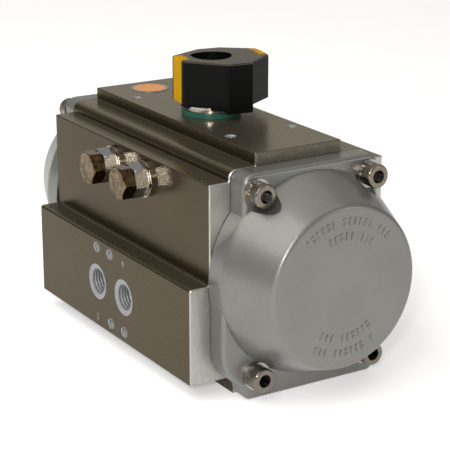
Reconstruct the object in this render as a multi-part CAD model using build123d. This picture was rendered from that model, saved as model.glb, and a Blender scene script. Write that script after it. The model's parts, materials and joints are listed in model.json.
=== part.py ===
from build123d import *
import os
from math import atan2, cos, degrees, hypot, pi, radians, sin, sqrt, tan

# Quarter-turn rack-and-pinion pneumatic actuator, spring return. Millimetres.
# Origin: on the drive axis, in the flat mounting face underneath. +Z is up along
# the drive axis, +X runs along the body, and the air ports are on the -Y side.

# ---- driving dimensions ---------------------------------------------------
BODY_LENGTH = 136.0
HALF = BODY_LENGTH / 2
PLATE_TOP = 100.7            # top accessory face above the mounting face
SHOULDER_Z = 95.5            # flat beside the raised accessory plate
STEP_Z = 90.7                # top of the upper side walls
PORT_TOP_Z = 48.8            # top of the port block
PAD_Z = 7.4                  # underside of the walls beside the bottom pad
PORT_FACE_Y = -51.4
WALL_Y = 42.2
STEP_Y = 33.2
SHOULDER_Y = 30.0
PLATE_Y = 20.8
PAD_Y = 30.9
END_CHAMFER = 0.45

BORE_Z = 50.35
BORE_R = 37.5

PORT_Z = 28.2                # NAMUR air-port interface, VDI/VDE 3845
PORT_PITCH = 24.0
PORT_SCREW_DX = 12.0
PORT_SCREW_DZ = 16.0
PORT_BORE_R = 5.75
PORT_SINK_R, PORT_SINK_DEPTH = 8.0, 0.6
PORT_DEPTH = 12.0
TOP_PATTERN = (80.0, 30.0)   # accessory screws in the top face, VDI/VDE 3845
M5_R = 2.1
VALVE_PATTERNS = ((25.0, 2.5, 9.0), (35.0, 3.4, 9.0))   # circle, hole, depth: F05 and F07
SPIGOT_R, SPIGOT_DEPTH = 17.5, 2.0

CHANNEL_Y, CHANNEL_Z, CHANNEL_R = -37.0, 22.0, 2.0
PASSAGE_X = (71.4, 75.4)

FLANGE_X = 78.0              # end-cap flange: from the body end to here
CONE_X = 101.5               # end-cap front face
CONE_R0, CONE_R1 = 43.0, 33.9
FLANGE_EDGE_R, SHOULDER_BLEND_R, NOSE_R, ROOT_BLEND_R = 1.6, 9.0, 2.4, 2.0
FLANGE_BACK_CHAMFER = 0.4
# raised bars: radius of the row, first and last angle round the bore axis
MARK_ROWS = ((27.6, 43, 136), (21.4, 54, 121), (27.2, 240, 310), (21.0, 240, 316))
MARK_PITCH, MARK_TALL, MARK_WIDE, MARK_HIGH = 2.6, 3.0, 0.9, 0.3
CAVITY_R0, CAVITY_R1, CAVITY_X = 36.6, 30.0, 97.5
SCREW_Y, SCREW_Z = 27.0, (10.9, 88.1)
SCREW_R, SCREW_HEAD_R, SCREW_HEAD_H, SCREW_HEX = 3.0, 5.0, 6.0, 5.0
WASHER_R, WASHER_T = 5.9, 1.6
SPOTFACE_R = 7.4

MODULE = 1.5                 # rack and pinion
TEETH = 18
PRESSURE_ANGLE = radians(20)
BACKLASH = 0.30
PITCH_R = MODULE * TEETH / 2
STROKE = PITCH_R * pi / 2
PINION_Z = (37.0, 63.7)
RACK_HALF_Z = 11.0

JOURNAL_R = 13.4             # lower journal of the drive shaft
LOWER_BUSH_R = JOURNAL_R + 2.1
LOWER_BUSH_Z = (6.2, 12.4)
UPPER_BUSH_R, UPPER_BUSH_TOP = 12.0, 94.6
NECK_R = 12.4
CAM_SEAT_R, CAM_FLAT = 11.0, 9.5
TOP_R = 10.0
SHAFT_Z0 = 2.2               # clear of the spigot recess
SHAFT_TOP = 114.9
STUB_FLAT = 6.5
DRIVE_AF, DRIVE_DEPTH = 14.0, 19.0

CAM_Z = (77.6, 84.6)
CAM_R = 21.0
CAM_REACH = 12.0             # from the axis to both stop faces
POCKET_R, POCKET_TOP = 22.6, 86.0

STOP_X = {"closed": 16.5, "open": -10.5}
STOP_Z = 81.1
STOP_GAP = 0.2
M8_R, M8_AF, M8_HEAD_H, M8_NUT_H = 4.0, 13.0, 5.3, 6.5
STOP_FACE_Y = -56.0
FIT = 0.05                   # radial running clearance

HEAD_IN = 30.0               # piston head, inner and outer face when closed
HEAD_OUT = 44.0
HEAD_R = 37.1
GUIDE_R = BORE_R - FIT
LEG_TIP = -28.2
SPRING_PCD_R, SPRING_R, SPRING_WIRE_R = 19.0, 6.3, 1.1
SPRING_TURNS = 7
POCKET_DEPTH = 6.0

POINTER_TURN = -9.0          # how the indicator is clocked on the shaft, degrees
HUB_Z, LOBE_Z, CROWN_Z = 104.2, 106.7, 125.9
CROWN_FALL = 0.05            # how the crown's top falls from its ridge to each side
SIDE_PAD_Z, SIDE_PAD_PROUD = (103.5, 124.6), 0.6
INSERT_PROUD = 0.15
RING_R, RING_TOP = 13.0, 102.7


# ---- small helpers --------------------------------------------------------
def rod(radius, low, high, x=0.0, y=0.0):
    """Upright cylinder between two heights."""
    return Pos(x, y, (low + high) / 2) * Cylinder(radius, high - low)


def rod_x(radius, low, high, y=0.0, z=0.0):
    """Cylinder along X between two places."""
    return Pos((low + high) / 2, y, z) * Rot(0, 90, 0) * Cylinder(radius, high - low)


def rod_y(radius, low, high, x=0.0, z=0.0):
    """Cylinder along Y between two places."""
    return Pos(x, (low + high) / 2, z) * Rot(90, 0, 0) * Cylinder(radius, high - low)


def block(x, y, z):
    """Box from three (low, high) pairs."""
    size = [high - low for low, high in (x, y, z)]
    middle = [(high + low) / 2 for low, high in (x, y, z)]
    return Pos(*middle) * Box(*size)


def ring(outer, inner, low, high):
    return rod(outer, low, high) - rod(inner, low - 1, high + 1)


def ring_x(outer, inner, low, high, z=BORE_Z):
    return rod_x(outer, low, high, z=z) - rod_x(inner, low - 1, high + 1, z=z)


def o_ring(axis_radius, section_radius, plane):
    return plane * Torus(axis_radius, section_radius)


def cone_x(low, high, radius_low, radius_high):
    """Frustum about the bore axis, widest where radius_low says."""
    frustum = Cone(radius_low, radius_high, high - low)
    return Pos((low + high) / 2, 0, BORE_Z) * Rot(0, 90, 0) * frustum


def rear(shape):
    """The same piece at the other end of the body, turned half round the drive axis."""
    return Rot(0, 0, 180) * shape


def flip(shape):
    """The same piece mirrored to the other end of the body."""
    return mirror(shape, about=Plane.YZ)


def write(name, shape):
    """One file per node; loose pieces of a node stay separate solids."""
    solids = shape.solids()
    export_step(solids[0] if len(solids) == 1 else Compound(children=list(solids)),
                f"parts/{name}.step")
    print(f"{name}: {len(solids)} solids")


# ---- body housing ---------------------------------------------------------
def housing():
    profile = make_face(Plane.YZ * housing_outline())
    body = extrude(profile, HALF, both=True)
    ends = body.faces().sort_by(Axis.X)
    body = chamfer(ends[0].edges() + ends[-1].edges(), END_CHAMFER)
    body -= rod_x(BORE_R, -HALF - 1, HALF + 1, z=BORE_Z)
    # recess for the stop cam, and the flat roof that carries the upper thrust bearing
    body -= rod(POCKET_R, CAM_Z[0] - 1.5, POCKET_TOP)
    # drive shaft holes, top and bottom, with the spigot recess of the base
    body -= rod(TOP_R + 0.1, POCKET_TOP - 1, PLATE_TOP + 1)
    body -= rod(UPPER_BUSH_R, POCKET_TOP - 1, UPPER_BUSH_TOP)
    body -= rod(LOWER_BUSH_R, -1, BORE_Z)
    body -= rod(SPIGOT_R, -1, SPIGOT_DEPTH)
    # accessory pattern in the top face and valve pattern under the base
    for x in (-TOP_PATTERN[0] / 2, TOP_PATTERN[0] / 2):
        for y in (-TOP_PATTERN[1] / 2, TOP_PATTERN[1] / 2):
            body -= rod(M5_R, PLATE_TOP - 7.5, PLATE_TOP + 1, x, y)
            body -= Pos(x, y, PLATE_TOP - 0.2) * Cone(M5_R, M5_R + 0.4, 0.4)
    for circle_r, hole_r, depth in VALVE_PATTERNS:
        for angle in (45, 135, 225, 315):
            x, y = circle_r * cos(radians(angle)), circle_r * sin(radians(angle))
            body -= rod(hole_r, -1, depth, x, y)
    # air ports
    for x in (-PORT_PITCH / 2, PORT_PITCH / 2):
        body -= rod_y(PORT_BORE_R, PORT_FACE_Y - 1, PORT_FACE_Y + PORT_DEPTH, x, PORT_Z)
        sink = Cone(PORT_BORE_R, PORT_SINK_R, PORT_SINK_DEPTH)
        body -= Pos(x, PORT_FACE_Y + PORT_SINK_DEPTH / 2, PORT_Z) * Rot(90, 0, 0) * sink
    for x, z in port_screw_places():
        body -= rod_y(M5_R, PORT_FACE_Y - 1, PORT_FACE_Y + 8, x, z)
        body -= Pos(x, PORT_FACE_Y + 0.3, z) * Rot(90, 0, 0) * Cone(M5_R, M5_R + 0.6, 0.6)
    # port 2 opens between the pistons; port 4 feeds the long channel to both caps
    port_floor = PORT_FACE_Y + PORT_DEPTH - 1
    body -= rod_y(2.5, port_floor, -20, -PORT_PITCH / 2, PORT_Z + 1.6)
    body -= rod_y(2.0, port_floor, CHANNEL_Y, PORT_PITCH / 2, PORT_Z - 3.9)
    body -= rod_x(CHANNEL_R, -HALF - 1, HALF + 1, CHANNEL_Y, CHANNEL_Z)
    # travel-stop bolts and end-cap screws
    for x in STOP_X.values():
        body -= rod_y(M8_R + FIT, -WALL_Y - 1, -CAM_REACH, x, STOP_Z)
        body -= rod_y(5.6, -WALL_Y - 1, -WALL_Y + 1.6, x, STOP_Z)
    for side in (-1, 1):
        for y in (-SCREW_Y, SCREW_Y):
            for z in SCREW_Z:
                body -= rod_x(SCREW_R + 0.02, *sorted((side * (HALF - 14), side * (HALF + 1))),
                              y, z)
    return body


def housing_outline():
    """Closed wire of the extrusion, seen along X, in local Y and Z."""
    right = [(PAD_Y, 0.0), (PAD_Y, PAD_Z), (WALL_Y, PAD_Z), (WALL_Y, STEP_Z),
             (STEP_Y, STEP_Z), (STEP_Y, SHOULDER_Z), (PLATE_Y, SHOULDER_Z),
             (PLATE_Y, PLATE_TOP)]
    left = [(-y, z) for y, z in reversed(right)]
    corner = left.index((-WALL_Y, PAD_Z))
    left[corner:corner + 1] = [(-WALL_Y, PORT_TOP_Z), (PORT_FACE_Y, PORT_TOP_Z),
                               (PORT_FACE_Y, PAD_Z)]
    face = make_face(Polyline(*right, *left, close=True))
    for y, z, radius in ((STEP_Y, SHOULDER_Z, 3.6), (-STEP_Y, SHOULDER_Z, 3.6),
                         (-WALL_Y, PORT_TOP_Z, 1.2), (PORT_FACE_Y, PORT_TOP_Z, 1.2)):
        face = fillet(face.vertices().sort_by_distance((y, z))[0], radius)
    sharp = [Vector(y, z) for y, z in right + left if z > 1 and (abs(y), z) != (STEP_Y, SHOULDER_Z)]
    corners = [v for v in face.vertices()
               if any((Vector(v.X, v.Y) - place).length < 0.01 for place in sharp)]
    return fillet(corners, 0.5).face().outer_wire()


def port_screw_places():
    """Valve screws on one diagonal of the interface, coding studs on the other side."""
    upper, lower = PORT_Z + PORT_SCREW_DZ, PORT_Z - PORT_SCREW_DZ
    return [(-PORT_SCREW_DX, upper), (0.0, upper), (0.0, lower), (PORT_SCREW_DX, lower)]


# ---- end caps -------------------------------------------------------------
def flange_outline():
    """Cap flange: screw lugs top and bottom, round over the bore, port-side lobe."""
    lug_y, top, foot, corner = 32.5, SHOULDER_Z, 0.3, 5.0
    lobe_y, lobe_z, lobe_r = 42.0, 21.7, 16.5
    side_z = sqrt(CONE_R0 ** 2 - lug_y ** 2)
    lobe_top = BORE_Z - sqrt(CONE_R0 ** 2 - lobe_y ** 2)
    lobe_end = (-(lobe_y - lobe_r) + lobe_r * cos(radians(245)),
                lobe_z + lobe_r * sin(radians(245)))
    edges = [
        Line((-lug_y + corner, top), (lug_y - corner, top)),
        RadiusArc((lug_y - corner, top), (lug_y, top - corner), corner),
        Line((lug_y, top - corner), (lug_y, BORE_Z + side_z)),
        ThreePointArc((lug_y, BORE_Z + side_z), (CONE_R0, BORE_Z), (lug_y, BORE_Z - side_z)),
        Line((lug_y, BORE_Z - side_z), (lug_y, foot + 3)),
        RadiusArc((lug_y, foot + 3), (lug_y - 3, foot), 3),
        Line((lug_y - 3, foot), (-lug_y + 4, foot)),
        RadiusArc((-lug_y + 4, foot), (-lug_y + 1, foot + 3), 3),
        Line((-lug_y + 1, foot + 3), lobe_end),
        RadiusArc(lobe_end, (-lobe_y, lobe_z), lobe_r),
        Line((-lobe_y, lobe_z), (-lobe_y, lobe_top)),
        ThreePointArc((-lobe_y, lobe_top), (-CONE_R0, BORE_Z), (-lug_y, BORE_Z + side_z)),
        Line((-lug_y, BORE_Z + side_z), (-lug_y, top - corner)),
        RadiusArc((-lug_y, top - corner), (-lug_y + corner, top), corner),
    ]
    return Wire(edges)


def dome():
    """Solid of revolution behind the cap's front face, softly turned at both ends."""
    section = make_face(Polyline((HALF + 1, 0), (HALF + 1, CONE_R0), (FLANGE_X, CONE_R0),
                                 (CONE_X, CONE_R1), (CONE_X, 0), close=True))
    shoulder = section.vertices().sort_by_distance((FLANGE_X, CONE_R0))[0]
    section = fillet(shoulder, SHOULDER_BLEND_R)
    nose = section.vertices().sort_by_distance((CONE_X, CONE_R1))[0]
    section = fillet(nose, NOSE_R)
    return Pos(0, 0, BORE_Z) * revolve(section, Axis.X)


def root_blend():
    """Hollow fillet where the cone stands on the screw lugs."""
    slope = (CONE_R1 - CONE_R0) / (CONE_X - FLANGE_X)
    run = 8.0
    section = make_face(Polyline((FLANGE_X - 1, CONE_R0 - run), (FLANGE_X - 1, CONE_R0 + run),
                                 (FLANGE_X, CONE_R0 + run), (FLANGE_X, CONE_R0),
                                 (FLANGE_X + run, CONE_R0 + run * slope),
                                 (FLANGE_X + run, CONE_R0 - run), close=True))
    root = section.vertices().sort_by_distance((FLANGE_X, CONE_R0))[0]
    ring_solid = Pos(0, 0, BORE_Z) * revolve(fillet(root, ROOT_BLEND_R), Axis.X)
    lugs = offset(make_face(flange_outline()), -FLANGE_EDGE_R)
    return ring_solid & extrude(Pos(FLANGE_X - 1, 0, 0) * (Plane.YZ * lugs), run)


def raised_marks():
    """Plain raised bars in arcs on the cap's face, where such caps carry cast lettering."""
    marks = []
    for radius, start, end in MARK_ROWS:
        step = degrees(MARK_PITCH / radius)
        for index in range(int((end - start) / step)):
            if index % 7 == 3:
                continue
            turn = Rot(start + index * step, 0, 0)
            long_bar = (index * 5) % 3 > 0
            heights = (MARK_TALL,) if long_bar else (MARK_TALL * 0.35, MARK_TALL * 0.35)
            for side, tall in zip((0,) if long_bar else (-1, 1), heights):
                bar = Box(2 * MARK_HIGH, tall, MARK_WIDE * (1.0 if long_bar else 1.5))
                place = Pos(CONE_X, radius + side * (MARK_TALL - tall) / 2, 0)
                marks.append(Pos(0, 0, BORE_Z) * turn * place * bar)
    return marks


def end_cap():
    """Front cap, its lobe over the air channel on the -Y side."""
    face = Plane.YZ * make_face(flange_outline())
    flange = extrude(Pos(HALF, 0, 0) * face, FLANGE_X - HALF)
    flange = fillet(flange.faces().sort_by(Axis.X)[-1].edges(), FLANGE_EDGE_R)
    cap = flange + dome() + root_blend()
    for y in (-SCREW_Y, SCREW_Y):
        for z in SCREW_Z:
            cap -= rod_x(SPOTFACE_R, FLANGE_X, CONE_X + 1, y, z)
            cap -= rod_x(SCREW_R + 0.4, HALF - 1, FLANGE_X + 1, y, z)
    cap += raised_marks()
    back = cap.faces().sort_by(Axis.X)[0]
    cap = chamfer(back.outer_wire().edges(), FLANGE_BACK_CHAMFER)
    cap -= cone_x(HALF - 0.5, CAVITY_X, CAVITY_R0 + 0.1, CAVITY_R1)
    # groove of the main seal, and the air passage from the channel to the cavity
    cap -= ring_x(41.0, 38.4, HALF - 1, HALF + 1.8)
    cap -= rod_x(CHANNEL_R, HALF - 1, PASSAGE_X[1], CHANNEL_Y, CHANNEL_Z)
    cap -= rod_x(3.6, HALF - 1, HALF + 1.3, CHANNEL_Y, CHANNEL_Z)
    reach = hypot(CHANNEL_Y, BORE_Z - CHANNEL_Z)
    slope = degrees(atan2(BORE_Z - CHANNEL_Z, -CHANNEL_Y))
    slot = block((PASSAGE_X[0], PASSAGE_X[1]), (0, reach - 30), (-CHANNEL_R, CHANNEL_R))
    cap -= Pos(0, CHANNEL_Y, CHANNEL_Z) * Rot(slope, 0, 0) * slot
    return cap


def cap_screws():
    """Four M6 socket-head screws of the front cap."""
    seat = FLANGE_X + WASHER_T
    screw = rod_x(SCREW_R, HALF - 12, seat + 1, 0, 0)
    head = rod_x(SCREW_HEAD_R, seat, seat + SCREW_HEAD_H, 0, 0)
    head = fillet(head.faces().sort_by(Axis.X)[-1].edges(), 0.7)
    socket = Plane.YZ * RegularPolygon(SCREW_HEX / 2, 6, major_radius=False)
    head -= extrude(Pos(seat + SCREW_HEAD_H - 3, 0, 0) * socket, 4)
    screw += head
    return Compound(children=[Pos(0, y, z) * screw
                              for y in (-SCREW_Y, SCREW_Y) for z in SCREW_Z])


def cap_washers():
    washer = ring_x(WASHER_R, SCREW_R + 0.2, FLANGE_X, FLANGE_X + WASHER_T, z=0)
    return Compound(children=[Pos(0, y, z) * washer
                              for y in (-SCREW_Y, SCREW_Y) for z in SCREW_Z])


def cap_seal():
    return ring_x(40.7, 38.7, HALF, HALF + 1.75)


def channel_seal():
    seal = rod_x(3.4, HALF, HALF + 1.25, CHANNEL_Y, CHANNEL_Z)
    return seal - rod_x(CHANNEL_R + 0.1, HALF - 1, HALF + 2, CHANNEL_Y, CHANNEL_Z)


# ---- rack and pinion ------------------------------------------------------
def involute_flank(half_angle, base_r, tip_r, steps=7):
    """Points of one tooth flank, from the base circle to the tip."""
    points = []
    for step in range(steps + 1):
        radius = base_r + (tip_r - base_r) * step / steps
        opening = sqrt(max((radius / base_r) ** 2 - 1, 0))
        roll = opening - atan2(opening, 1)
        angle = half_angle - roll
        points.append((radius * cos(angle), radius * sin(angle)))
    return points


def pinion():
    base_r = PITCH_R * cos(PRESSURE_ANGLE)
    tip_r, root_r = PITCH_R + MODULE, PITCH_R - 1.25 * MODULE
    thickness = pi * MODULE / 2 - BACKLASH
    half_angle = thickness / 2 / PITCH_R + tan(PRESSURE_ANGLE) - PRESSURE_ANGLE
    upper = involute_flank(half_angle, base_r, tip_r)
    lower = [(x, -y) for x, y in upper]
    foot = ((root_r - 1) * cos(half_angle), (root_r - 1) * sin(half_angle))
    tooth = make_face(Polyline((foot[0], -foot[1]), *lower, *reversed(upper), foot,
                               close=True))
    tooth = extrude(Pos(0, 0, PINION_Z[0]) * tooth, PINION_Z[1] - PINION_Z[0])
    gear = rod(root_r, *PINION_Z)
    for index in range(TEETH):
        gear += Rot(0, 0, 360 * index / TEETH) * tooth
    return gear


def rack_teeth():
    """Teeth of the rack on the -Y side, pointing at the drive axis."""
    pitch = pi * MODULE
    tip_y, root_y = -(PITCH_R - MODULE), -(PITCH_R + 1.25 * MODULE)
    middle = (pitch / 2 - BACKLASH) / 2
    tip = middle - MODULE * tan(PRESSURE_ANGLE)
    root = middle + 1.25 * MODULE * tan(PRESSURE_ANGLE)
    tooth = make_face(Polyline((-root, root_y - 1), (-root, root_y), (-tip, tip_y),
                               (tip, tip_y), (root, root_y), (root, root_y - 1), close=True))
    tooth = extrude(Pos(0, 0, BORE_Z - RACK_HALF_Z) * tooth, 2 * RACK_HALF_Z)
    places = [index * pitch for index in range(-5, 2)]
    return [Pos(x, 0, 0) * tooth for x in places]


def piston():
    """Front piston: head towards +X and a rack leg along the -Y side."""
    head = rod_x(HEAD_R, HEAD_IN, HEAD_OUT, z=BORE_Z)
    root_y = -(PITCH_R + 1.25 * MODULE)
    leg = block((LEG_TIP, HEAD_IN + 1), (-36.0, root_y),
                (BORE_Z - RACK_HALF_Z, BORE_Z + RACK_HALF_Z))
    leg &= rod_x(35.4, LEG_TIP - 1, HEAD_IN + 2, z=BORE_Z)
    body = head + leg
    for tooth in rack_teeth():
        body += tooth
    body -= ring_x(HEAD_R + 1, 34.4, 39.6, 42.0)
    body -= ring_x(HEAD_R + 1, 35.8, 32.6, 37.6)
    for angle in (45, 135, 225, 315):
        y, z = spring_place(angle)
        body -= rod_x(SPRING_R + SPRING_WIRE_R + 0.7, HEAD_OUT - POCKET_DEPTH, HEAD_OUT + 1,
                      y, z)
    return body


def spring_place(angle):
    return (SPRING_PCD_R * cos(radians(angle)), BORE_Z + SPRING_PCD_R * sin(radians(angle)))


def piston_seal():
    return ring_x(GUIDE_R, 34.45, 39.75, 41.85)


def piston_guide():
    return ring_x(GUIDE_R, 35.85, 32.7, 37.5)


def back_pad():
    """Sliding pad between the rack's back and the bore."""
    pad = ring_x(GUIDE_R, 35.45, LEG_TIP + 3, LEG_TIP + 33)
    return pad & block((LEG_TIP, HEAD_IN), (-40, -20), (BORE_Z - 9, BORE_Z + 9))


def springs():
    """Four return springs between the front piston and its cap."""
    low = HEAD_OUT - POCKET_DEPTH + SPRING_WIRE_R + 0.05
    high = CAVITY_X - SPRING_WIRE_R - 0.4
    path = Helix(pitch=(high - low) / SPRING_TURNS, height=high - low, radius=SPRING_R)
    wire = Plane(origin=path @ 0, z_dir=path % 0) * Circle(SPRING_WIRE_R)
    coil = Rot(0, 90, 0) * sweep(wire, path=path, is_frenet=True)
    return Compound(children=[Pos(low, *spring_place(angle)) * coil
                              for angle in (45, 135, 225, 315)])


# ---- drive shaft and what turns with it -----------------------------------
def drive_shaft():
    shaft = pinion()
    shaft += rod(JOURNAL_R, SHAFT_Z0, PINION_Z[0])
    shaft += rod(NECK_R, PINION_Z[1], CAM_Z[0])
    seat = rod(CAM_SEAT_R, *CAM_Z)
    seat &= block((-CAM_FLAT, CAM_FLAT), (-20, 20), CAM_Z)
    shaft += seat
    shaft += rod(TOP_R - 0.4, CAM_Z[1], 106.0)
    shaft += rod(TOP_R, CAM_Z[1] + 0.1, 103.0)
    stub = rod(8.0, 106.0, SHAFT_TOP) & block((-20, 20), (-STUB_FLAT, STUB_FLAT),
                                              (105.0, SHAFT_TOP))
    shaft += stub
    # seal and clip grooves
    shaft -= ring(TOP_R + 1, TOP_R - 1.7, 96.0, 98.2)
    shaft -= ring(TOP_R + 1, TOP_R - 1.1, 103.75, 104.95)
    shaft -= ring(JOURNAL_R + 1, JOURNAL_R - 1.8, 3.4, 5.8)
    # eight-point square drive, screw hole and accessory slot
    square = Rectangle(DRIVE_AF, DRIVE_AF)
    for turn in (0, 45):
        shaft -= extrude(Pos(0, 0, SHAFT_Z0 - 1) * (Rot(0, 0, turn) * square), DRIVE_DEPTH + 1)
    shaft -= rod(2.5, SHAFT_TOP - 14, SHAFT_TOP + 1)
    return shaft


def stop_cam():
    """Half-moon plate on the shaft: its two straight faces meet the stop bolts."""
    faces = block((-CAM_REACH, 30), (-CAM_REACH, 30), CAM_Z)
    beyond_diagonal = Polyline((-60, 56), (60, -64), (60, 56), close=True)
    sector = rod(CAM_R, *CAM_Z) & extrude(Pos(0, 0, CAM_Z[0]) * make_face(beyond_diagonal),
                                          CAM_Z[1] - CAM_Z[0])
    cam = (sector + rod(CAM_SEAT_R + 2.6, *CAM_Z)) & faces
    through = (CAM_Z[0] - 1, CAM_Z[1] + 1)
    hole = rod(CAM_SEAT_R + 0.02, *through)
    hole &= block((-CAM_FLAT - 0.02, CAM_FLAT + 0.02), (-20, 20), through)
    return cam - hole


def pointer_outline():
    """Indicator in plan, its pointer along +Y before it is clocked."""
    nose, nose_y, side, side_y, tip, tip_y = 6.5, -15.5, 18.0, 0.5, 7.5, 24.0
    points = [(nose, nose_y), (side, side_y), (side, 11.5), (tip, tip_y)]
    whole = points + [(-x, y) for x, y in reversed(points)]
    return make_face(Polyline(*whole, close=True))


def under_ridge(height):
    """Everything below a shallow gable whose ridge runs along the pointer."""
    half = 30.0
    gable = make_face(Polyline((-half, 90.0), (half, 90.0), (half, height - half * CROWN_FALL),
                               (0, height), (-half, height - half * CROWN_FALL), close=True))
    return extrude(Plane.XZ * gable, half, both=True)


def indicator_body():
    crown = extrude(Pos(0, 0, LOBE_Z) * pointer_outline(), CROWN_Z - LOBE_Z)
    crown = fillet(crown.edges().filter_by(Axis.Z), 1.5)
    crown &= under_ridge(CROWN_Z)
    top = [face for face in crown.faces() if face.normal_at().Z > 0.9]
    rim = [edge for face in top for edge in face.edges() if abs(edge.center().X) > 0.1]
    crown = chamfer(rim, 0.6)
    hub_points = [(2.5, -13.2), (17.3, 0.7), (17.3, 11.4), (8.0, 14.0)]
    hub = make_face(Polyline(*hub_points, *[(-x, y) for x, y in reversed(hub_points)],
                             close=True))
    body = crown + extrude(Pos(0, 0, HUB_Z) * hub, LOBE_Z - HUB_Z + 1)
    pad = block((15.5, 18.0 + SIDE_PAD_PROUD), (0.0, 12.0), SIDE_PAD_Z)
    pad = fillet(pad.edges().filter_by(Axis.Z).sort_by(Axis.X)[-2:], SIDE_PAD_PROUD)
    body += pad + mirror(pad, about=Plane.YZ)
    body -= rod(9.0, 116.9, CROWN_Z + 1)
    body -= rod(12.4, HUB_Z - 1, 105.4)
    stub = rod(8.02, 105.0, SHAFT_TOP) & block((-20, 20), (-STUB_FLAT - 0.02, STUB_FLAT + 0.02),
                                               (105.0, SHAFT_TOP))
    body -= Rot(0, 0, -POINTER_TURN) * stub
    body -= rod(TOP_R - 0.38, 105.0, 106.02)
    body -= rod(SCREW_R + 0.2, SHAFT_TOP - 1, CROWN_Z)
    for slot in insert_blocks(0.0):
        body -= slot
    return Rot(0, 0, POINTER_TURN) * body


def insert_blocks(proud):
    """The two marker inserts, each a strip down the end face with a tab over the top."""
    nose = block((-4.6, 4.6), (-15.5 - proud, -14.0), (LOBE_Z, CROWN_Z + proud))
    nose += block((-4.6, 4.6), (-15.5 - proud, -11.9), (CROWN_Z - 1.8, CROWN_Z + proud))
    tip = block((-6.2, 6.2), (22.5, 24.0 + proud), (LOBE_Z, CROWN_Z + proud))
    tip += block((-6.2, 6.2), (20.2, 24.0 + proud), (CROWN_Z - 1.8, CROWN_Z + proud))
    return [nose, tip]


def indicator_inserts():
    inserts = []
    for insert in insert_blocks(INSERT_PROUD):
        top_edges = insert.faces().sort_by(Axis.Z)[-1].edges().filter_by(Axis.X)
        outer = top_edges.sort_by(lambda e: -abs(e.center().Y))[0]
        insert = chamfer(outer, 0.9) & under_ridge(CROWN_Z + INSERT_PROUD)
        inserts.append(Rot(0, 0, POINTER_TURN) * insert)
    return Compound(children=inserts)


def indicator_screw():
    head = rod(5.0, 116.9, 119.9)
    head -= extrude(Pos(0, 0, 118.2) * RegularPolygon(2.0, 6, major_radius=False), 3)
    return head + rod(2.5, 103.0, 117.5)


def snap_ring():
    clip = ring(11.8, TOP_R - 1.05, 103.8, 104.9)
    return clip - block((-1.6, 1.6), (-14, -6), (103, 106))


# ---- travel stops ---------------------------------------------------------
def hexagon_prism(across_flats, low, high, turn, both_ends):
    """Hexagonal head or nut along Y, its corners turned off at the outer end or at both."""
    profile = Plane.XZ * (Rot(0, 0, turn) * RegularPolygon(across_flats / 2, 6,
                                                           major_radius=False))
    prism = extrude(Pos(0, high, 0) * profile, high - low)
    corner_r = across_flats / sqrt(3)
    turned_off = corner_r - 0.97 * across_flats / 2
    blank = rod_y(corner_r + 0.01, low, high)
    ends = blank.faces().filter_by(Axis.Y).sort_by(Axis.Y)
    for end in ends if both_ends else ends[:1]:
        blank = chamfer(end.edges(), turned_off * tan(radians(30)), turned_off)
    return prism & blank


def stop_bolt(which):
    x = STOP_X[which]
    head_back = STOP_FACE_Y + M8_HEAD_H
    head = hexagon_prism(M8_AF, STOP_FACE_Y, head_back, 0, False)
    bolt = head + rod_y(M8_R, head_back - 1, -CAM_REACH - STOP_GAP)
    bolt = bolt - rod_y(7.0, -CAM_REACH - STOP_GAP, 0)
    return Pos(x, 0, STOP_Z) * bolt


def stop_nuts():
    seat = -WALL_Y - 1.6
    nut = hexagon_prism(M8_AF, seat - M8_NUT_H, seat, 48, True)
    nut -= rod_y(M8_R + FIT, seat - M8_NUT_H - 1, seat + 1)
    return Compound(children=[Pos(x, 0, STOP_Z) * nut for x in STOP_X.values()])


def stop_washers():
    washer = rod_y(8.0, -WALL_Y - 1.6, -WALL_Y) - rod_y(M8_R + 0.3, -WALL_Y - 3, -WALL_Y + 1)
    return Compound(children=[Pos(x, 0, STOP_Z) * washer for x in STOP_X.values()])


def stop_seals():
    seal = rod_y(5.55, -WALL_Y, -WALL_Y + 1.55) - rod_y(M8_R + FIT, -WALL_Y - 1, -WALL_Y + 2)
    return Compound(children=[Pos(x, 0, STOP_Z) * seal for x in STOP_X.values()])


# ---- bearings, seals and small trim ---------------------------------------
def round_label():
    return rod(8.7, PLATE_TOP, PLATE_TOP + 0.25, -54.0, -0.4)


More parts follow.
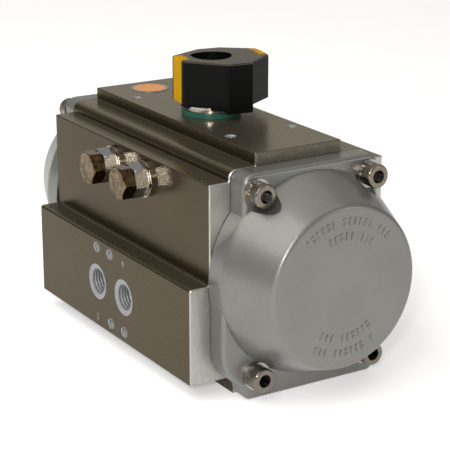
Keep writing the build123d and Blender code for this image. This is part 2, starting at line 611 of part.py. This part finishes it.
def build():
    front_cap = end_cap()
    return {
        "body_housing": housing(),
        "end_cap_front": front_cap,
        "end_cap_rear": flip(front_cap),
        "cap_seal_front": cap_seal(),
        "cap_seal_rear": flip(cap_seal()),
        "channel_seal_front": channel_seal(),
        "channel_seal_rear": flip(channel_seal()),
        "cap_screws_front": cap_screws(),
        "cap_screws_rear": flip(cap_screws()),
        "cap_washers_front": cap_washers(),
        "cap_washers_rear": flip(cap_washers()),
        "upper_shaft_bush": ring(UPPER_BUSH_R, TOP_R + FIT, POCKET_TOP + 0.5, UPPER_BUSH_TOP),
        "lower_shaft_bush": ring(LOWER_BUSH_R, JOURNAL_R + FIT, *LOWER_BUSH_Z),
        "upper_shaft_seal": ring(TOP_R + 0.05, TOP_R - 1.65, 96.05, 98.15),
        "lower_shaft_seal": ring(JOURNAL_R + 2.05, JOURNAL_R - 1.75, 3.45, 5.75),
        "inner_thrust_bearing": ring(15.0, TOP_R + 0.1, 84.8, POCKET_TOP),
        "outer_thrust_ring": ring(RING_R, TOP_R + 0.1, PLATE_TOP, RING_TOP),
        "thrust_washer": ring(12.0, TOP_R + 0.1, RING_TOP, RING_TOP + 1.0),
        "snap_ring": snap_ring(),
        "drive_shaft": drive_shaft(),
        "stop_cam": stop_cam(),
        "indicator_body": indicator_body(),
        "indicator_inserts": indicator_inserts(),
        "indicator_screw": indicator_screw(),
        "piston_front": piston(),
        "piston_rear": rear(piston()),
        "piston_seal_front": piston_seal(),
        "piston_seal_rear": rear(piston_seal()),
        "piston_guide_front": piston_guide(),
        "piston_guide_rear": rear(piston_guide()),
        "rack_pad_front": back_pad(),
        "rack_pad_rear": rear(back_pad()),
        "return_springs_front": springs(),
        "return_springs_rear": flip(springs()),
        "stop_bolt_closed": stop_bolt("closed"),
        "stop_bolt_open": stop_bolt("open"),
        "stop_lock_nuts": stop_nuts(),
        "stop_washers": stop_washers(),
        "stop_seals": stop_seals(),
        "round_label": round_label(),
    }


os.makedirs("parts", exist_ok=True)
for node, solid in build().items():
    write(node, solid)
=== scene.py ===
import json
from math import cos, pi, radians, sin

import bmesh
import bpy
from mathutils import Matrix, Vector


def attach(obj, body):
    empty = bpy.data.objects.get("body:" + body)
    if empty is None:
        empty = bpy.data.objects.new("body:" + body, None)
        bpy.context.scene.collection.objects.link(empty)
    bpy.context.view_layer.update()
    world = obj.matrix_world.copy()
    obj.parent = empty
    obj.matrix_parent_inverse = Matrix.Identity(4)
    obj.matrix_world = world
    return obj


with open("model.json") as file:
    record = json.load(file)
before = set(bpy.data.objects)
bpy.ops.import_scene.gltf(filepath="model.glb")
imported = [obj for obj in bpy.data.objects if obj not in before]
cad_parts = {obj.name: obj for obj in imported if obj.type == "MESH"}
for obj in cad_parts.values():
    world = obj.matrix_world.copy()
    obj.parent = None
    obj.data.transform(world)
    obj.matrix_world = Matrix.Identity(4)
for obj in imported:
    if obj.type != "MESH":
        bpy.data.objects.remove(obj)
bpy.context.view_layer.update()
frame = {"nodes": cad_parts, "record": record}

# ---- measures -------------------------------------------------------------
MM = 0.001                               # pieces are drawn in millimetres

# Metres, for the materials that change with place.
SCREW_Y = 0.027                          # cap screws, either side of the middle
SCREW_MID_Z, SCREW_RISE = 0.0495, 0.0386   # their middle height, and the rise from it
HEX_EDGE = (0.00265, 0.00285)            # where the socket's hexagon gives way to the rim
HEAD_FLANK = (0.00485, 0.00498)          # where the rim gives way to the knurled side
KNURLS = 44.0
PLATE_FOOT = (0.0950, 0.0956)            # heights between which the accessory plate starts
CAP_JOINT = (0.06805, 0.0685)            # along the body, the line where a cap meets it
LABEL_CENTRE = (-0.054, -0.0004)
LABEL_DISC_R, LABEL_EDGE = 0.0072, 0.0002

# How far a face's own direction has to lean before its look changes on it: bare machined ends,
# the body's tops painted lighter as painted light, and the nylon's dusty tops with painted
# light.
END_FACING = (0.50, 0.66)
UP_FACING = (0.6, 0.95)
DUST_AND_LIGHT_FACING = (0.5, 0.95)

# Millimetres, for the pieces added to the housing.
PORT_FACE_Y, PORT_Z, PLATE_TOP = -51.4, 28.2, 100.7
PORT_X = 12
PORT_HOLE = dict(hole_r=5.75, sink_r=8.0, sink_depth=0.6, depth=11.9, pitch=1.337, tooth=0.22)
VALVE_HOLE = dict(hole_r=2.1, sink_r=2.35, sink_depth=0.25, depth=7.9, pitch=0.8, tooth=0.3)
PLATE_HOLE = dict(hole_r=2.1, sink_r=2.5, sink_depth=0.4, depth=7.4, pitch=0.8, tooth=0.3)
VALVE_PLACES = ((-12, 16), (0, 16), (0, -16), (12, -16))
PLATE_PLACES = ((-40, -15), (-40, 15), (40, -15), (40, 15))
SHARP_ANGLE = radians(40)                # edges turned further than this stay crisp
LATHE_STEPS = 72
LINING_SKIN = 0.04                       # how far a lining stands inside its hole
THREAD_LEAD_IN, THREAD_LEAD_OUT = 0.2, 1.0
ROWS_PER_TURN = 8
STROKE_HALF, STROKE_PROUD, STROKE_SUNK = 0.17, 0.03, 0.3
NUMERALS = {
    "4": ((11.8, 15.2), (((0.4, 1.3), (-0.8, -0.3)), ((-0.8, -0.3), (1.0, -0.3)),
                         ((0.4, 1.3), (0.4, -1.3)))),
    "2": ((-12.4, -16.3), (((-0.8, 0.8), (-0.2, 1.3)), ((-0.2, 1.3), (0.6, 1.1)),
                           ((0.6, 1.1), (0.7, 0.4)), ((0.7, 0.4), (-0.8, -1.3)),
                           ((-0.8, -1.3), (0.9, -1.3)))),
}


# ---- node helpers ---------------------------------------------------------
class Look:
    """A procedural material with short names for the few nodes used again and again."""

    def __init__(self, name, **values):
        self.material = bpy.data.materials.new(name)
        self.material.use_nodes = True
        self.tree = self.material.node_tree
        self.shader = self.tree.nodes["Principled BSDF"]
        for key, value in values.items():
            self.shader.inputs[key.replace("_", " ")].default_value = value
        self.place = self.tree.nodes.new("ShaderNodeTexCoord").outputs["Object"]

    def node(self, kind, **settings):
        made = self.tree.nodes.new("ShaderNode" + kind)
        for key, value in settings.items():
            setattr(made, key, value)
        return made

    def link(self, source, target):
        self.tree.links.new(source, target)

    def feed(self, socket, value):
        """Link a socket or set a plain value."""
        if isinstance(value, bpy.types.NodeSocket):
            self.link(value, socket)
        else:
            socket.default_value = value

    def stretch(self, scale):
        """The object's own coordinates, scaled along each axis."""
        mapping = self.node("Mapping")
        mapping.inputs["Scale"].default_value = scale
        self.link(self.place, mapping.inputs["Vector"])
        return mapping.outputs["Vector"]

    def noise(self, scale, detail=3.0, rough=0.5, place=None):
        made = self.node("TexNoise")
        made.inputs["Scale"].default_value = scale
        made.inputs["Detail"].default_value = detail
        made.inputs["Roughness"].default_value = rough
        self.link(place or self.place, made.inputs["Vector"])
        return made.outputs["Fac"]

    def span(self, value, low, high, to_low=0.0, to_high=1.0):
        """Map a value from one range to another, clamped at both ends."""
        made = self.node("MapRange")
        self.link(value, made.inputs["Value"])
        for socket, number in zip(("From Min", "From Max", "To Min", "To Max"),
                                  (low, high, to_low, to_high)):
            made.inputs[socket].default_value = number
        return made.outputs["Result"]

    def math(self, operation, a, b=0.0):
        made = self.node("Math", operation=operation)
        self.feed(made.inputs[0], a)
        self.feed(made.inputs[1], b)
        return made.outputs[0]

    def distance(self, a, b):
        """Length of the hypotenuse over two offsets."""
        return self.math("SQRT", self.math("ADD", self.math("MULTIPLY", a, a),
                                           self.math("MULTIPLY", b, b)))

    def mix(self, factor, a, b, kind="RGBA"):
        """Blend two colours, or two plain values with kind FLOAT."""
        made = self.node("Mix", data_type=kind)
        self.feed(made.inputs["Factor"], factor)
        self.feed(made.inputs["A"], a)
        self.feed(made.inputs["B"], b)
        return made.outputs["Result"]

    def axes(self, socket=None):
        made = self.node("SeparateXYZ")
        self.link(socket or self.place, made.inputs[0])
        return made.outputs

    def facing(self):
        """The surface's own direction, straight from the geometry, as X, Y, Z."""
        return self.axes(self.node("NewGeometry").outputs["True Normal"])

    def bump(self, height, distance, strength, after=None):
        made = self.node("Bump")
        made.inputs["Strength"].default_value = strength
        made.inputs["Distance"].default_value = distance
        self.link(height, made.inputs["Height"])
        if after:
            self.link(after, made.inputs["Normal"])
        return made.outputs["Normal"]

    def set(self, name, value):
        self.feed(self.shader.inputs[name], value)


def rgb(red, green, blue):
    """sRGB bytes to the linear colour a shader wants."""
    def linear(byte):
        part = byte / 255
        return part / 12.92 if part <= 0.04045 else ((part + 0.055) / 1.055) ** 2.4
    return (linear(red), linear(green), linear(blue), 1.0)


def scaled(colour, factor, lift=0.0):
    """A colour made darker or lighter, never past white."""
    return tuple(min(1.0, part * factor + lift) for part in colour[:3]) + (1.0,)


# ---- materials ------------------------------------------------------------
def anodised():
    """Hard-anodised extrusion with bare machined ends."""
    look = Look("anodised_extrusion", Specular_Tint=(0.92, 0.89, 0.82, 1.0))
    direction = look.facing()
    height = look.axes()[2]
    machined = look.span(look.math("ABSOLUTE", direction[0]), *END_FACING)
    drawn = look.noise(700.0, 4.0, 0.6, look.stretch((0.04, 1.0, 1.0)))
    cloud = look.noise(14.0, 3.0, 0.55)
    grain = look.noise(2300.0, 2.0, 0.6)
    # the coat: cloudy bronze with darker drawn lines and pale grain; upward faces are painted
    # lighter as painted light from above
    coat = look.mix(look.span(cloud, 0.35, 0.65), rgb(62, 54, 41), rgb(70, 62, 48))
    coat = look.mix(look.span(drawn, 0.35, 0.75, 0.0, 0.16), coat, rgb(58, 51, 37))
    coat = look.mix(look.span(grain, 0.42, 0.72, 0.0, 0.24), coat, rgb(108, 98, 78))
    # painted light: the upward faces painted a lighter bronze for the light falling on them
    upward = look.span(direction[2], *UP_FACING, 0.0, 0.70)
    coat = look.mix(upward, coat, rgb(128, 120, 102))
    # the ends: sawn and bare, but blasted where the accessory plate ends
    saw = look.noise(900.0, 5.0, 0.7, look.stretch((1.0, 1.0, 0.25)))
    bare = look.mix(look.span(saw, 0.3, 0.7), rgb(160, 160, 154), rgb(180, 181, 176))
    blasted = look.mix(look.span(grain, 0.35, 0.65), rgb(88, 83, 71), rgb(130, 124, 111))
    bare = look.mix(look.span(height, *PLATE_FOOT), bare, blasted)
    look.set("Base Color", look.mix(machined, coat, bare))
    # the tops are made less metallic, so their painted lighter colour shows
    look.set("Metallic", look.span(direction[2], *UP_FACING, 0.95, 0.80))
    look.set("Roughness", look.mix(machined, look.span(grain, 0.2, 0.8, 0.22, 0.32),
                                   look.span(saw, 0.2, 0.8, 0.34, 0.46), "FLOAT"))
    lines = look.bump(drawn, 0.00002, 0.25)
    look.set("Normal", look.bump(grain, 0.00002, 0.30, lines))
    return look.material


def cast_paint():
    """Silver-grey coated casting with a fine sandy skin."""
    look = Look("silver_casting", Metallic=0.7, Coat_Weight=0.25, Coat_Roughness=0.14)
    cloud = look.noise(30.0, 3.0, 0.55)
    sand = look.noise(1300.0, 3.0, 0.65)
    base = look.mix(look.span(cloud, 0.35, 0.65), rgb(118, 118, 114), rgb(126, 126, 122))
    base = look.mix(look.span(sand, 0.35, 0.7, 0.0, 0.3), base, rgb(98, 98, 94))
    # grime in the joint between the cap and the body's end face
    along = look.math("ABSOLUTE", look.axes()[0])
    base = look.mix(look.span(along, *CAP_JOINT, 0.9, 0.0), base, rgb(34, 38, 46))
    look.set("Base Color", base)
    look.set("Roughness", look.span(cloud, 0.3, 0.7, 0.36, 0.42))
    look.set("Normal", look.bump(sand, 0.00007, 0.5))
    return look.material


def steel(name, colour, rough, metallic=1.0):
    """Metal with fine darker mottling, which also varies its gloss."""
    look = Look(name, Metallic=metallic)
    streak = look.noise(1400.0, 4.0, 0.6)
    cloud = look.noise(160.0, 2.0, 0.5)
    look.set("Base Color", look.mix(look.span(streak, 0.3, 0.75, 0.0, 0.6),
                                    colour, scaled(colour, 0.8)))
    look.set("Roughness", look.math("ADD", look.span(streak, 0.2, 0.8, 0.0, 0.10),
                                    look.span(cloud, 0.3, 0.7, rough, rough + 0.05)))
    look.set("Normal", look.bump(streak, 0.00002, 0.3))
    return look.material


def bolt_steel(name):
    """Bright hexagon bolt painted brown as a painted reflection of a brown room, lighter and
    darker in patches, with scratches on its head.
    """
    look = Look(name, Metallic=1.0)
    brown_reflection_patches = look.noise(420.0, 5.0, 0.7)
    scratch = look.noise(2600.0, 3.0, 0.6, look.stretch((1.0, 1.0, 0.2)))
    # painted reflection: the steel painted brown for the room it reflects, in lighter and
    # darker patches
    metal = look.mix(look.span(brown_reflection_patches, 0.42, 0.60), rgb(126, 107, 78), rgb(74, 57, 34))
    metal = look.mix(look.span(scratch, 0.56, 0.66, 0.0, 0.6), metal, rgb(46, 35, 22))
    look.set("Base Color", metal)
    look.set("Roughness", look.span(brown_reflection_patches, 0.35, 0.65, 0.10, 0.20))
    look.set("Normal", look.bump(scratch, 0.00003, 0.35))
    return look.material


def screw_steel():
    """Knurled socket-head screw: bright head, its hexagon socket painted near black as painted
    shade.
    """
    look = Look("socket_screw_steel")
    _, y, z = look.axes()
    # offsets from the nearest of the four screw axes
    side = look.math("SUBTRACT", look.math("ABSOLUTE", y), SCREW_Y)
    height = look.math("ABSOLUTE", look.math("SUBTRACT", z, SCREW_MID_Z))
    rise = look.math("SUBTRACT", height, SCREW_RISE)
    off = look.distance(side, rise)
    inside = look.span(off, *HEX_EDGE, 1.0, 0.0)
    streak = look.noise(1400.0, 4.0, 0.6)
    metal = look.mix(look.span(streak, 0.3, 0.75), rgb(138, 130, 119), rgb(98, 91, 81))
    # painted shade: inside the socket's hexagon, near black and hardly metallic, for the shade
    # deep in it
    look.set("Base Color", look.mix(inside, metal, rgb(12, 12, 12)))
    look.set("Metallic", look.span(inside, 0.0, 1.0, 1.0, 0.2))
    look.set("Roughness", look.span(streak, 0.2, 0.8, 0.08, 0.16))
    ridges = look.math("SINE", look.math("MULTIPLY", look.math("ARCTAN2", side, rise), KNURLS))
    flank = look.span(off, *HEAD_FLANK)
    look.set("Normal", look.bump(look.math("MULTIPLY", ridges, flank), 0.00008, 0.7))
    return look.material


def moulded(name, colour, rough, specular=0.5):
    """Plastic or rubber with a fine moulded skin."""
    look = Look(name, Specular_IOR_Level=specular)
    skin = look.noise(900.0, 4.0, 0.6)
    cloud = look.noise(70.0, 2.0, 0.5)
    look.set("Base Color", look.mix(look.span(cloud, 0.3, 0.7),
                                    colour, scaled(colour, 1.25, 0.003)))
    look.set("Roughness", look.math("ADD", look.span(skin, 0.2, 0.8, -0.05, 0.07), rough))
    look.set("Normal", look.bump(skin, 0.00004, 0.5))
    return look.material


def black_nylon():
    """Moulded black nylon, greyer on its upward faces: dusty in patches, and painted light from
    above.
    """
    look = Look("black_nylon", Specular_IOR_Level=0.09)
    skin = look.noise(800.0, 4.0, 0.6)
    upward = look.span(look.facing()[2], *DUST_AND_LIGHT_FACING)
    dust_and_sheen = look.span(skin, 0.3, 0.75, 0.35, 1.0)
    # dusty patches and painted light: the upward faces painted grey
    look.set("Base Color", look.mix(look.math("MULTIPLY", upward, dust_and_sheen),
                                    rgb(6, 7, 5), rgb(104, 99, 90)))
    look.set("Roughness", look.span(skin, 0.2, 0.8, 0.36, 0.50))
    look.set("Normal", look.bump(skin, 0.00004, 0.4))
    return look.material


def printed_disc(colour, rim_colour):
    """Plain coloured disc printed on a silver film."""
    look = Look("printed_label", Roughness=0.4)
    x, y, _ = look.axes()
    radius = look.distance(look.math("SUBTRACT", x, LABEL_CENTRE[0]),
                           look.math("SUBTRACT", y, LABEL_CENTRE[1]))
    inside = look.span(radius, LABEL_DISC_R, LABEL_DISC_R + LABEL_EDGE, 1.0, 0.0)
    mottled = look.noise(900.0, 3.0, 0.6)
    ink = look.mix(look.span(mottled, 0.35, 0.65), colour, scaled(colour, 0.8))
    look.set("Base Color", look.mix(inside, rim_colour, ink))
    look.set("Metallic", look.span(inside, 0.0, 1.0, 0.6, 0.0))
    look.set("Normal", look.bump(mottled, 0.00002, 0.2))
    return look.material


# by material slot, then by node where a piece has a look of its own
LOOKS = {
    "anodised_body": anodised(),
    "cast_cap": cast_paint(),
    "stainless": steel("polished_stainless", rgb(168, 164, 158), 0.10),
    "seal_rubber": moulded("nitrile_rubber", rgb(22, 22, 23), 0.6),
    "bearing_plastic": moulded("natural_acetal", rgb(226, 221, 205), 0.45),
    "green_plastic": moulded("green_bearing", rgb(16, 80, 66), 0.42),
    "black_plastic": black_nylon(),
    "yellow_plastic": moulded("yellow_marker", rgb(172, 130, 2), 0.5, specular=0.02),
    "shaft_steel": steel("plated_shaft", rgb(186, 186, 184), 0.22),
    "cam_steel": steel("machined_cam", rgb(168, 168, 168), 0.3),
    "piston_aluminium": steel("piston_metal", rgb(205, 206, 207), 0.32),
    "spring_steel": steel("coated_spring", rgb(70, 82, 74), 0.4, metallic=0.4),
    "label_film": printed_disc(rgb(226, 150, 72), rgb(150, 148, 146)),
}
CAP_SCREW_STEEL = screw_steel()
BY_NODE = {
    "stop_bolt_closed": bolt_steel("stop_bolt_steel_closed"),
    "stop_bolt_open": bolt_steel("stop_bolt_steel_open"),
    "stop_lock_nuts": steel("lock_nut_steel", rgb(184, 187, 192), 0.12),
    "stop_washers": steel("stop_washer_steel", rgb(150, 140, 124), 0.16),
    "cap_screws_front": CAP_SCREW_STEEL,
    "cap_screws_rear": CAP_SCREW_STEEL,
}
MACHINED = steel("machined_aluminium", rgb(150, 152, 154), 0.40, metallic=0.6)
STAMPED = moulded("stamped_mark", rgb(150, 145, 132), 0.5, specular=0.3)

for part in frame["record"]["subparts"]:
    look_of_part = BY_NODE.get(part["node"], LOOKS[part["material_slot"]])
    for material_slot in frame["nodes"][part["node"]].material_slots:
        material_slot.material = look_of_part


# ---- mesh helpers ---------------------------------------------------------
def link_in(name, data):
    """A new object in the scene, holding a mesh, a light or a camera."""
    made = bpy.data.objects.new(name, data)
    bpy.context.collection.objects.link(made)
    return made


def add_piece(name, verts, faces, look, body="housing"):
    """A new piece from vertices in millimetres, riding on a body."""
    mesh = bpy.data.meshes.new(name)
    mesh.from_pydata([tuple(c * MM for c in v) for v in verts], [], faces)
    tidy = bmesh.new()
    tidy.from_mesh(mesh)
    bmesh.ops.recalc_face_normals(tidy, faces=tidy.faces)
    for edge in tidy.edges:
        edge.smooth = edge.calc_face_angle(0.0) < SHARP_ANGLE
    for face in tidy.faces:
        face.smooth = True
    tidy.to_mesh(mesh)
    tidy.free()
    mesh.materials.append(look)
    piece = link_in(name, mesh)
    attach(piece, body)


def lathe(rings, place, carve, steps=LATHE_STEPS):
    """Skin of revolution through closed (radius, depth) rings, placed about a hole's axis."""
    verts, faces = [], []
    count = len(rings)
    for step in range(steps):
        angle = 2 * pi * step / steps
        verts += [place(radius - carve(depth, angle), depth, angle) for radius, depth in rings]
    for step in range(steps):
        here, after = step * count, (step + 1) % steps * count
        for index in range(count):
            beyond = (index + 1) % count
            faces.append((here + index, here + beyond, after + beyond, after + index))
    return verts, faces


def thread(start, end, pitch, tooth):
    """Height of a thread's ridge at a depth and an angle, run out at both ends."""
    def ridge(depth, angle):
        if not start <= depth <= end:
            return 0.0
        phase = ((depth - start) / pitch - angle / (2 * pi)) % 1.0
        run_out = min(1.0, (depth - start) / pitch, (end - depth) / pitch)
        return tooth * run_out * max(0.0, 1.0 - abs(phase - 0.5) * 2.5)
    return ridge


def hole_lining(name, place, hole_r, sink_r, sink_depth, depth, pitch, tooth):
    """The bright machined wall of a tapped hole, with its countersink and thread."""
    start, end = sink_depth + THREAD_LEAD_IN, depth - THREAD_LEAD_OUT
    rows = int((end - start) / pitch * ROWS_PER_TURN)
    rings = [(sink_r - LINING_SKIN, 0.0), (hole_r - LINING_SKIN, sink_depth)]
    rings += [(hole_r - LINING_SKIN, start + (end - start) * row / rows)
              for row in range(rows + 1)]
    # down the wall, then back up inside the metal to close the skin
    rings += [(hole_r - LINING_SKIN, depth), (hole_r + 0.4, depth),
              (hole_r + 0.4, sink_depth + 0.5), (sink_r + 0.3, 0.35), (sink_r + 0.02, 0.02)]
    verts, faces = lathe(rings, place, thread(start, end, pitch, tooth))
    add_piece(name, verts, faces, MACHINED)


def numeral(name, centre, lines):
    """A numeral stamped on the port face, each stroke a thin bar."""
    verts, faces = [], []
    for (x0, z0), (x1, z1) in lines:
        along = Vector((x1 - x0, z1 - z0)).normalized() * STROKE_HALF
        across = Vector((-along.y, along.x))
        corners = [(x0 - along.x + across.x, z0 - along.y + across.y),
                   (x1 + along.x + across.x, z1 + along.y + across.y),
                   (x1 + along.x - across.x, z1 + along.y - across.y),
                   (x0 - along.x - across.x, z0 - along.y - across.y)]
        base = len(verts)
        for y in (PORT_FACE_Y - STROKE_PROUD, PORT_FACE_Y + STROKE_SUNK):
            verts += [(centre[0] + x, y, centre[1] + z) for x, z in corners]
        faces += [tuple(base + i for i in quad) for quad in
                  ((0, 1, 2, 3), (7, 6, 5, 4), (0, 4, 5, 1), (1, 5, 6, 2),
                   (2, 6, 7, 3), (3, 7, 4, 0))]
    add_piece(name, verts, faces, STAMPED)


# ---- detail pieces --------------------------------------------------------
def from_port_face(x, z):
    return lambda radius, depth, angle: (x + radius * cos(angle), PORT_FACE_Y + depth,
                                         z + radius * sin(angle))


def from_plate(x, y):
    return lambda radius, depth, angle: (x + radius * cos(angle), y + radius * sin(angle),
                                         PLATE_TOP - depth)


for port, x in (("2", -PORT_X), ("4", PORT_X)):
    hole_lining("port_lining_" + port, from_port_face(x, PORT_Z), **PORT_HOLE)
for index, (x, z) in enumerate(VALVE_PLACES):
    hole_lining(f"valve_hole_lining_{index}", from_port_face(x, PORT_Z + z), **VALVE_HOLE)
for index, (x, y) in enumerate(PLATE_PLACES):
    hole_lining(f"plate_hole_lining_{index}", from_plate(x, y), **PLATE_HOLE)
for port, ((x, z), strokes) in NUMERALS.items():
    numeral("numeral_" + port, (x, PORT_Z + z), strokes)


# ---- stage ----------------------------------------------------------------
FLOOR_HALF, FLOOR_CELLS, FLOOR_GLOW = 3.0, 8, 0.38
LENS, SENSOR = 127.9, 36.0
CLIP = (0.05, 20.0)
EYE, AIM = Vector((0.57992, -0.35193, 0.26740)), Vector((0.01148, 0.0, 0.05197))
SKY = (0.33, 0.315, 0.29, 1.0)
# name, place, what it points at, size, watts, colour
LIGHTS = (
    ("overhead", (0.0, 0.1, 1.6), (0, 0, 0.0), (1.6, 1.6), 5.2, (1.0, 0.99, 0.97)),
    ("back", (-1.60, 0.98, 0.80), (0, 0, 0.05), (2.4, 0.9), 1.6, (1.0, 0.98, 0.95)),
    ("strip", (0.60, -0.62, 0.72), (0, 0, 0.05), (0.16, 0.7), 2.9, (0.97, 0.98, 1.0)),
    ("left", (-0.30, -1.0, 1.3), (0, 0, 0.05), (1.3, 1.3), 13.0, (1.0, 0.98, 0.95)),
    ("window", (1.25, 0.85, 0.42), (0, 0, 0.05), (0.40, 0.30), 1.8, (0.93, 0.96, 1.0)),
    ("lamp", (0.60, -0.42, 0.34), (0, 0, 0.05), (0.05, 0.05), 2.2, (1.0, 0.98, 0.96)),
)


def point_at(thing, place, aim):
    thing.location = place
    thing.rotation_euler = (Vector(aim) - Vector(place)).to_track_quat("-Z", "Y").to_euler()


def stage_floor():
    grid = bmesh.new()
    bmesh.ops.create_grid(grid, x_segments=FLOOR_CELLS, y_segments=FLOOR_CELLS, size=FLOOR_HALF)
    mesh = bpy.data.meshes.new("floor")
    grid.to_mesh(mesh)
    grid.free()
    look = Look("pale_floor", Roughness=0.9, Emission_Color=(1, 1, 1, 1),
                Emission_Strength=FLOOR_GLOW)
    look.set("Base Color", look.mix(look.noise(3.0), (0.80, 0.80, 0.80, 1),
                                    (0.84, 0.84, 0.84, 1)))
    mesh.materials.append(look.material)
    floor = link_in("floor", mesh)


def camera():
    data = bpy.data.cameras.new("camera")
    data.lens, data.sensor_width = LENS, SENSOR
    data.clip_start, data.clip_end = CLIP
    rig = link_in("camera", data)
    point_at(rig, EYE, AIM)
    bpy.context.scene.camera = rig


def sky():
    studio = bpy.data.worlds.new("studio")
    studio.use_nodes = True
    studio.node_tree.nodes["Background"].inputs["Color"].default_value = SKY
    bpy.context.scene.world = studio


def area_light(name, place, aim, size, watts, colour):
    data = bpy.data.lights.new(name, "AREA")
    data.shape = "RECTANGLE"
    data.size, data.size_y = size
    data.energy = watts
    data.color = colour
    point_at(link_in(name, data), place, aim)


stage_floor()
camera()
bpy.context.scene.view_settings.view_transform = "Standard"
sky()
for light in LIGHTS:
    area_light(*light)
